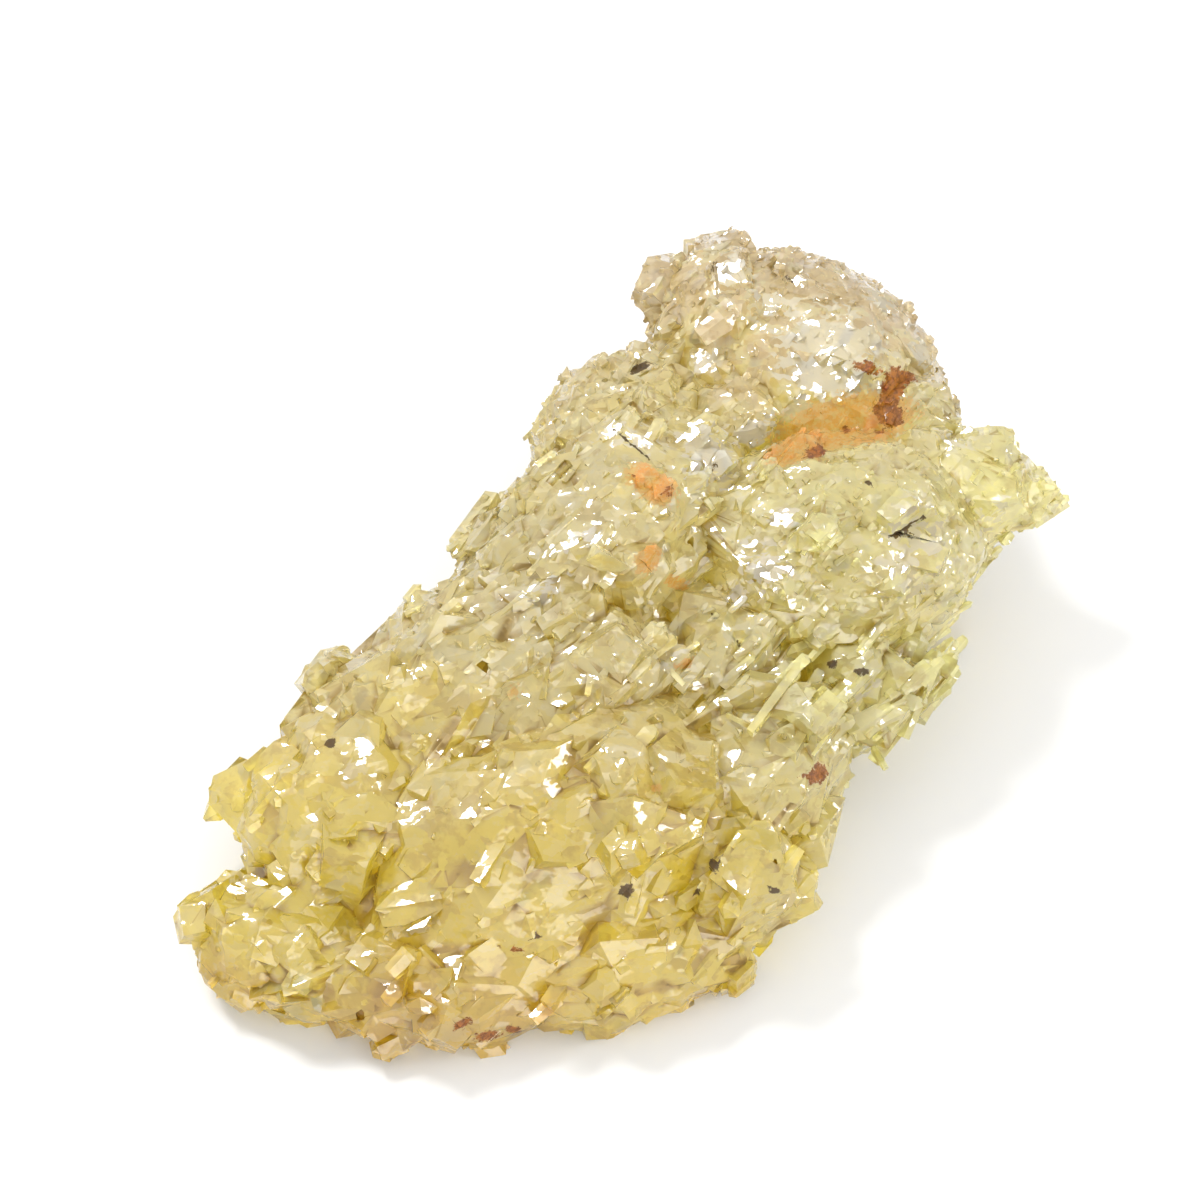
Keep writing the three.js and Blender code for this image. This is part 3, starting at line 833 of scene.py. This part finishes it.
def zone_colours(nodes, finish, place, right, up):
    """The colour of each zone, and how far down the stone turns honey yellow."""
    drift = nodes.math("MULTIPLY_ADD", nodes.noise(place, DRIFT_SCALE, 2.0), DRIFT, -DRIFT / 2)
    height = nodes.math("ADD", up, drift)
    side = nodes.math("ADD", nodes.math("MULTIPLY_ADD", up, GREEN_SLANT, right), drift)
    honey_share = nodes.ramp(height, *HONEY_HEIGHTS)
    green_share = nodes.math("MULTIPLY", nodes.ramp(side, *GREEN_SIDES), nodes.ramp(height, *GREEN_HEIGHTS))
    colour = nodes.mix(honey_share, rgba(finish.lemon), rgba(finish.honey))
    colour = nodes.mix(green_share, colour, rgba(finish.pale_green))
    colour = nodes.mix(nodes.ramp(height, *CROWN_HEIGHTS), colour, rgba(finish.tan))
    colour = nodes.mix(nodes.ramp(height, *AMBER_HEIGHTS), colour, rgba(finish.amber))
    return colour, honey_share


# How much a facet's own tone adds to the slow noise, and between which sums it turns pale or deep.
TONE_SHARE = 0.35
PALE_TONES = (0.62, 0.52)
DEEP_TONES = (0.72, 0.86)
DEEP_SHARE = 0.5
# How much a facet pales above, and how much less it does low on the stone.
PALE_SHARE = 0.7
PALE_LOSS = 0.5
# How deep a hollow is where painted shade deepens its colour, where a darker painted shade lies in it if its
# patch is one of the shaded ones, and how strong that darker shade is.
SHADED_HOLLOWS = (0.55, 0.95)
DARKEST_SHADED_HOLLOWS = (0.75, 0.95)
DARKEST_SHADE_PATCHES = (0.5, 0.62)
DARKEST_SHADE_SHARE = 0.7


def uneven_colours(nodes, finish, colour, honey_share, patch, tones):
    """Paler and deeper facets, painted shade in the hollows, and here and there a darker painted shade in
    the deepest ones.
    """
    tone = nodes.math("MULTIPLY_ADD", tones.outputs["X"], TONE_SHARE, patch)
    pale_share = nodes.math("MULTIPLY_ADD", honey_share, -PALE_LOSS, PALE_SHARE)
    paler = nodes.math("MULTIPLY", nodes.ramp(tone, *PALE_TONES), pale_share)
    hollow = nodes.attribute("hollow")
    deep_facets = nodes.math("MULTIPLY", nodes.ramp(tone, *DEEP_TONES), DEEP_SHARE)
    # Painted shade: the hollows take the deep colour, as the deeper facets do.
    deeper_and_shaded = nodes.math("MAXIMUM", deep_facets, nodes.ramp(hollow, *SHADED_HOLLOWS))
    colour = nodes.mix(paler, colour, rgba(finish.cream))
    colour = nodes.mix(deeper_and_shaded, colour, rgba(finish.deep), "MULTIPLY")
    # Painted shade: in some patches the deepest hollows turn a darker brown.
    darkest_shade_patch = nodes.ramp(patch, *DARKEST_SHADE_PATCHES)
    darkest_hollow_shade = nodes.math("MULTIPLY", nodes.ramp(hollow, *DARKEST_SHADED_HOLLOWS), darkest_shade_patch)
    return nodes.mix(nodes.math("MULTIPLY", darkest_hollow_shade, DARKEST_SHADE_SHARE), colour, rgba(finish.darkest_hollow_shade)), darkest_hollow_shade


# For each kind of mark: how far its edge is broken up, and the weights between which it sets in.
MARK_EDGES = {
    "frost_and_sheen": (0.6, (0.35, 0.45)),
    "stain": (1.1, (0.3, 0.42)),
    "brown": (1.1, (0.3, 0.42)),
    "dark": (0.9, (0.4, 0.5)),
}
STAIN_SHARE = 0.92
# Between which values of the fine noise a stain is pale, and dark rust is at its darkest.
PALE_RUST = (0.4, 0.62)
DARK_RUST = (0.42, 0.6)
# How white a frosted patch is painted above, a white that is partly painted sheen for its facets'
# reflection, and how much less it is low on the stone.
FROST_SHEEN_SHARE = 0.95
FROST_SHEEN_LOSS = 0.75


def mark_weight(nodes, kind, breakup):
    """How strongly a kind of mark shows, with an edge that follows the breakup."""
    amount, weights = MARK_EDGES[kind]
    ragged = nodes.math("MULTIPLY_ADD", breakup, amount, -amount / 2)
    return nodes.ramp(nodes.math("ADD", nodes.attribute(kind), ragged), *weights)


def marked_colours(nodes, finish, colour, honey_share, place, tiny_tones):
    """The colour with the marks on it, and how strongly frost with its painted sheen, stain, brown and dark
    show.
    """
    fine = nodes.noise(place, 3.4, 3.0, 0.75)
    # The frosted patches are painted white, partly as a painted sheen for their facets' reflection.
    frost_and_sheen = mark_weight(nodes, "frost_and_sheen", tiny_tones.outputs["X"])
    white_share = nodes.math("MULTIPLY_ADD", honey_share, -FROST_SHEEN_LOSS, FROST_SHEEN_SHARE)
    colour = nodes.mix(nodes.math("MULTIPLY", frost_and_sheen, white_share), colour, rgba(finish.frost_and_sheen))
    stain = mark_weight(nodes, "stain", fine)
    rusty = nodes.mix(nodes.ramp(fine, *PALE_RUST), rgba(finish.stain), rgba(finish.pale_stain))
    colour = nodes.mix(nodes.math("MULTIPLY", stain, STAIN_SHARE), colour, rusty)
    brown = mark_weight(nodes, "brown", fine)
    deep_rust = nodes.mix(nodes.ramp(fine, *DARK_RUST), rgba(finish.brown), rgba(finish.deep_brown))
    colour = nodes.mix(brown, colour, deep_rust)
    dark = mark_weight(nodes, "dark", fine)
    colour = nodes.mix(dark, colour, rgba(finish.dark))
    return colour, frost_and_sheen, stain, brown, dark


# The plane that the frosted patches' facets lie along, as the way it faces, how closely the
# polish follows it, and how closely the inside does beside that.
LATTICE_PLANE = (-0.26, 0.43, 0.87)
LATTICE_PULL = 4.0
INSIDE_PULL = 0.5
# How much less the facets tilt on the smooth belly, and the tiny ones inside the stone.
BELLY_POLISH = 0.55
INSIDE_TINY_TILT = 0.5


def facet_normals(nodes, finish, honey_share, frost_and_sheen, facets, tiny):
    """The ways that the facets face, inside the stone and on its polished skin.

    The inside's facets are the broad ones, and the polish shows the tiny ones too. On the frosted
    patches most of them lie along one plane of the crystal.
    """
    level = nodes.add("ShaderNodeNewGeometry").outputs["Normal"]
    broad_way = nodes.vector("SUBTRACT", facets, 0.5)
    tiny_way = nodes.vector("SUBTRACT", tiny, 0.5)
    unetched = nodes.math("MULTIPLY_ADD", honey_share, -BELLY_POLISH, 1.0)
    broad_tilt = nodes.math("MULTIPLY", unetched, finish.tilt)
    tiny_tilt = nodes.math("MULTIPLY", unetched, finish.tiny_tilt)
    plane = face_to_frame().to_3x3() @ Vector(LATTICE_PLANE).normalized()
    pull = nodes.add("ShaderNodeVectorMath", {0: plane}, operation="SCALE")
    nodes.tree.links.new(nodes.math("MULTIPLY", frost_and_sheen, LATTICE_PULL), pull.inputs["Scale"])
    tilted = nodes.vector("MULTIPLY_ADD", broad_way, broad_tilt, level)
    half_tilt = nodes.math("MULTIPLY", tiny_tilt, INSIDE_TINY_TILT)
    inside = nodes.vector("MULTIPLY_ADD", tiny_way, half_tilt, tilted)
    inside = nodes.vector("MULTIPLY_ADD", pull.outputs[0], INSIDE_PULL, inside)
    polish = nodes.vector("MULTIPLY_ADD", tiny_way, tiny_tilt, tilted)
    polish = nodes.vector("ADD", polish, pull.outputs[0])
    return nodes.vector("NORMALIZE", inside), nodes.vector("NORMALIZE", polish)


# How frosted the stone is inside: the least, how much more in some patches, and where it is earthy, which
# includes the painted hollow shade.
LEAST_ROUGHNESS = 0.4
PATCH_ROUGHNESS = 0.15
EARTHY_ROUGHNESS = 0.3
ROUGH_PATCHES = (0.35, 0.65)
# How much less polish earth, rust and the painted hollow shade have.
EARTHY_COAT_LOSS = 0.9


def make_stone_material(finish):
    material = bpy.data.materials.new("etched_heliodor")
    material.use_nodes = True
    nodes = Nodes(material.node_tree)
    place, right, up = face_coordinates(nodes)

    # The skin is a mosaic of facets with tiny ones on them, each tilted its own way.
    bent = nodes.add("ShaderNodeTexNoise", {"Vector": place, "Scale": 1.2, "Detail": 2.0}).outputs["Color"]
    shaken = nodes.vector("MULTIPLY_ADD", bent, finish.unevenness, place)
    facets = nodes.facets(shaken, finish.facets)
    tiny = nodes.facets(shaken, finish.tiny_facets)
    tones = nodes.add("ShaderNodeSeparateXYZ", {"Vector": facets})
    tiny_tones = nodes.add("ShaderNodeSeparateXYZ", {"Vector": tiny})

    patch = nodes.noise(place, 0.9, 3.0)
    colour, honey_share = zone_colours(nodes, finish, place, right, up)
    colour, darkest_hollow_shade = uneven_colours(nodes, finish, colour, honey_share, patch, tones)
    marked = marked_colours(nodes, finish, colour, honey_share, place, tiny_tones)
    colour, frost_and_sheen, stain, brown, dark = marked
    inside, polish = facet_normals(nodes, finish, honey_share, frost_and_sheen, facets, tiny)

    # The inside is frosted, and clearer in some places than in others.
    rough_patch = nodes.ramp(patch, *ROUGH_PATCHES)
    roughness = nodes.math("MULTIPLY_ADD", rough_patch, PATCH_ROUGHNESS, LEAST_ROUGHNESS)
    rust = nodes.math("MAXIMUM", stain, brown)
    # Rust, dark spots and the painted shade in the deepest hollows count as earthy.
    earthy_and_shaded = nodes.math("MAXIMUM", rust, nodes.math("MAXIMUM", dark, darkest_hollow_shade))
    roughness = nodes.math("MULTIPLY_ADD", earthy_and_shaded, EARTHY_ROUGHNESS, roughness, clamp=True)

    shader = nodes.add("ShaderNodeBsdfPrincipled", {
        "Base Color": colour,
        "Roughness": roughness,
        "Normal": inside,
        "IOR": finish.ior,
        "Transmission Weight": finish.transmission,
        "Coat Weight": nodes.math("MULTIPLY_ADD", earthy_and_shaded, -EARTHY_COAT_LOSS, 1.0, clamp=True),
        "Coat Roughness": 0.04,
        "Coat IOR": finish.ior,
        "Coat Normal": polish,
    })
    absorption = nodes.add("ShaderNodeVolumeAbsorption")
    absorption.inputs["Color"].default_value = rgba(finish.absorption)
    absorption.inputs["Density"].default_value = finish.absorption_density
    output = nodes.add("ShaderNodeOutputMaterial", {"Surface": shader.outputs["BSDF"]})
    nodes.tree.links.new(absorption.outputs["Volume"], output.inputs["Volume"])
    return material


def make_floor_material(stage):
    material = bpy.data.materials.new("pale_floor")
    material.use_nodes = True
    nodes = Nodes(material.node_tree)
    shader = nodes.add("ShaderNodeBsdfPrincipled", {
        "Base Color": rgba(stage.floor_colour),
        "Roughness": 0.6,
        "Specular IOR Level": 0.2,
    })
    nodes.add("ShaderNodeOutputMaterial", {"Surface": shader.outputs["BSDF"]})
    return material


# Settings that a user would change


def colour_setting(name, description, colour):
    return bpy.props.FloatVectorProperty(
        name=name, description=description, subtype="COLOR", size=3, min=0, max=1, default=colour
    )


def linear(red, green, blue):
    """A colour given as 0 to 255 screen values, as the shaders' linear values."""
    def decode(value):
        share = value / 255
        return share / 12.92 if share <= 0.04045 else ((share + 0.055) / 1.055) ** 2.4
    return decode(red), decode(green), decode(blue)


class HeliodorShape(bpy.types.PropertyGroup):
    """How the stone's small crystals are strewn."""

    seed: bpy.props.IntProperty(
        name="Seed", description="Another number strews the small crystals in another way", default=8, min=0
    )


class HeliodorFinish(bpy.types.PropertyGroup):
    """The stone's colours and optics."""

    lemon: colour_setting("Lemon", "The stone's main colour", linear(248, 234, 160))
    honey: colour_setting("Honey", "The deeper yellow low on the stone", linear(245, 224, 76))
    pale_green: colour_setting("Pale green", "The right side's greenish yellow", linear(249, 243, 168))
    tan: colour_setting("Tan", "The crown's warm beige", linear(236, 214, 168))
    amber: colour_setting("Amber", "The lowest edge's amber", linear(236, 197, 42))
    cream: colour_setting("Cream", "The palest facets", linear(250, 243, 196))
    # Deep is partly painted shade: it darkens the hollows, and it also deepens some facets at random.
    deep: colour_setting("Deep", "What tints the deeper patches", linear(200, 180, 110))
    # This white is partly the patches' own frost and partly a painted sheen for their facets' reflection.
    frost_and_sheen: colour_setting("Frost", "The white, bruised patches", linear(250, 245, 228))
    stain: colour_setting("Stain", "The rusty stain in the seams", linear(252, 182, 75))
    pale_stain: colour_setting("Pale stain", "The stain where it is thin", linear(253, 212, 135))
    brown: colour_setting("Brown", "The dark rust in the pockets", linear(205, 115, 10))
    deep_brown: colour_setting("Deep brown", "The darkest rust in the pockets", linear(140, 68, 0))
    # This darker brown is painted shade in the deepest hollows, in some patches.
    darkest_hollow_shade: colour_setting("Dirt", "The earth in the deepest hollows", linear(125, 95, 30))
    dark: colour_setting("Dark", "The dark spots and cracks", linear(78, 56, 10))
    absorption: colour_setting("Absorption", "The colour of light that has gone through", (0.95, 0.90, 0.30))
    absorption_density: bpy.props.FloatProperty(
        name="Absorption density", description="How strongly the stone tints light, per metre",
        default=150, min=0,
    )
    facets: bpy.props.FloatProperty(
        name="Facets", description="How many facets there are to a millimetre", default=1.0, min=0
    )
    tiny_facets: bpy.props.FloatProperty(
        name="Tiny facets", description="How many tiny facets there are to a millimetre", default=2.6, min=0
    )
    unevenness: bpy.props.FloatProperty(
        name="Unevenness", description="How far the facets' outlines wander, in millimetres",
        default=0.7, min=0,
    )
    tilt: bpy.props.FloatProperty(
        name="Tilt", description="How far the facets tilt", default=0.5, min=0
    )
    tiny_tilt: bpy.props.FloatProperty(
        name="Tiny tilt", description="How far the tiny facets tilt", default=0.5, min=0
    )
    ior: bpy.props.FloatProperty(
        name="IOR", description="Beryl's refractive index", default=1.575, min=1
    )
    transmission: bpy.props.FloatProperty(
        name="Transmission", description="The share of clear crystal", default=0.8, min=0, max=1,
        subtype="FACTOR",
    )


class HeliodorStage(bpy.types.PropertyGroup):
    """The floor and the lights."""

    floor_colour: colour_setting("Floor", "The floor's colour", (0.62, 0.62, 0.62))
    floor_size: bpy.props.FloatProperty(
        name="Floor size", description="The floor's width", default=4.0, min=0.1, unit="LENGTH"
    )
    key_power: bpy.props.FloatProperty(
        name="Key light", description="The upper left softbox's power", default=2.0, min=0, unit="POWER"
    )
    fill_power: bpy.props.FloatProperty(
        name="Fill light", description="The right softbox's power", default=1.2, min=0, unit="POWER"
    )
    world_strength: bpy.props.FloatProperty(
        name="Surroundings", description="The brightness all round", default=1.23, min=0
    )


# Operators


class HELIODOR_OT_make_stone(bpy.types.Operator):
    """Makes the etched stone on the body that carries it"""

    bl_idname = "heliodor.make_stone"
    bl_label = "Make Stone"

    def execute(self, context):
        stone = make_stone_mesh(context.scene.heliodor_shape)
        stone.data.materials.clear()
        stone.data.materials.append(make_stone_material(context.scene.heliodor_finish))
        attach(stone, "root")
        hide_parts(STONE_NODE)
        return {"FINISHED"}


def add_softbox(name, way, size, power):
    """A square area light that lies from the stone along a direction of the face's frame."""
    data = bpy.data.lights.new(name, "AREA")
    data.shape = "SQUARE"
    data.size = size
    data.energy = power
    light = bpy.data.objects.new(name, data)
    back = (face_to_frame().to_3x3() @ Vector(way)).normalized()
    light.location = Vector((0, 0, LIT_HEIGHT)) + back * LIGHT_DISTANCE
    light.rotation_mode = "QUATERNION"
    light.rotation_quaternion = back.to_track_quat("Z", "Y")
    bpy.context.scene.collection.objects.link(light)


def add_camera():
    """The camera, which looks straight at the face."""
    data = bpy.data.cameras.new("camera")
    data.sensor_width = SENSOR_WIDTH
    data.lens = SENSOR_WIDTH * CAMERA_DISTANCE / PICTURE_WIDTH
    data.clip_start = NEAREST_SEEN
    camera = bpy.data.objects.new("camera", data)
    pose = face_to_frame() @ Matrix.Translation((0, 0, CAMERA_DISTANCE))
    pose.translation *= MM
    camera.matrix_world = pose
    bpy.context.scene.collection.objects.link(camera)
    bpy.context.scene.camera = camera


class HELIODOR_OT_make_stage(bpy.types.Operator):
    """Makes the pale floor, the lights and the camera"""

    bl_idname = "heliodor.make_stage"
    bl_label = "Make Stage"

    def execute(self, context):
        stage = context.scene.heliodor_stage
        half = stage.floor_size / 2
        corners = [(-half, -half, 0), (half, -half, 0), (half, half, 0), (-half, half, 0)]
        mesh = bpy.data.meshes.new("floor")
        mesh.from_pydata(corners, [], [(0, 1, 2, 3)])
        floor = bpy.data.objects.new("floor", mesh)
        floor.data.materials.append(make_floor_material(stage))
        context.scene.collection.objects.link(floor)
        powers = {
            "key": stage.key_power,
            "fill": stage.fill_power,
            "front": stage.fill_power * FRONT_SHARE,
        }
        for name, (way, size) in SOFTBOXES.items():
            add_softbox(name, way, size, powers[name])
        world = bpy.data.worlds.new("surroundings")
        world.use_nodes = True
        background = world.node_tree.nodes["Background"]
        background.inputs["Color"].default_value = (1, 1, 1, 1)
        background.inputs["Strength"].default_value = stage.world_strength
        context.scene.world = world
        context.scene.view_settings.view_transform = "Standard"
        context.scene.cycles.max_bounces = LIGHT_BOUNCES
        context.scene.cycles.transmission_bounces = LIGHT_BOUNCES
        add_camera()
        return {"FINISHED"}


class HELIODOR_PT_sidebar(bpy.types.Panel):
    """The stone's settings, in the sidebar"""

    bl_label = "Heliodor"
    bl_space_type = "VIEW_3D"
    bl_region_type = "UI"
    bl_category = "Heliodor"

    def draw(self, context):
        groups = (
            (context.scene.heliodor_shape, None),
            (context.scene.heliodor_finish, HELIODOR_OT_make_stone),
            (context.scene.heliodor_stage, HELIODOR_OT_make_stage),
        )
        for group, operator in groups:
            for name in type(group).__annotations__:
                self.layout.prop(group, name)
            if operator:
                self.layout.operator(operator.bl_idname)


CLASSES = (
    HeliodorShape,
    HeliodorFinish,
    HeliodorStage,
    HELIODOR_OT_make_stone,
    HELIODOR_OT_make_stage,
    HELIODOR_PT_sidebar,
)
GROUPS = {
    "heliodor_shape": HeliodorShape,
    "heliodor_finish": HeliodorFinish,
    "heliodor_stage": HeliodorStage,
}


def register():
    for cls in CLASSES:
        bpy.utils.register_class(cls)
    for name, group in GROUPS.items():
        setattr(bpy.types.Scene, name, bpy.props.PointerProperty(type=group))


def unregister():
    for name in GROUPS:
        delattr(bpy.types.Scene, name)
    for cls in reversed(CLASSES):
        bpy.utils.unregister_class(cls)


def main():
    register()
    bpy.ops.heliodor.make_stage()
    bpy.ops.heliodor.make_stone()


if __name__ == "__main__":
    main()
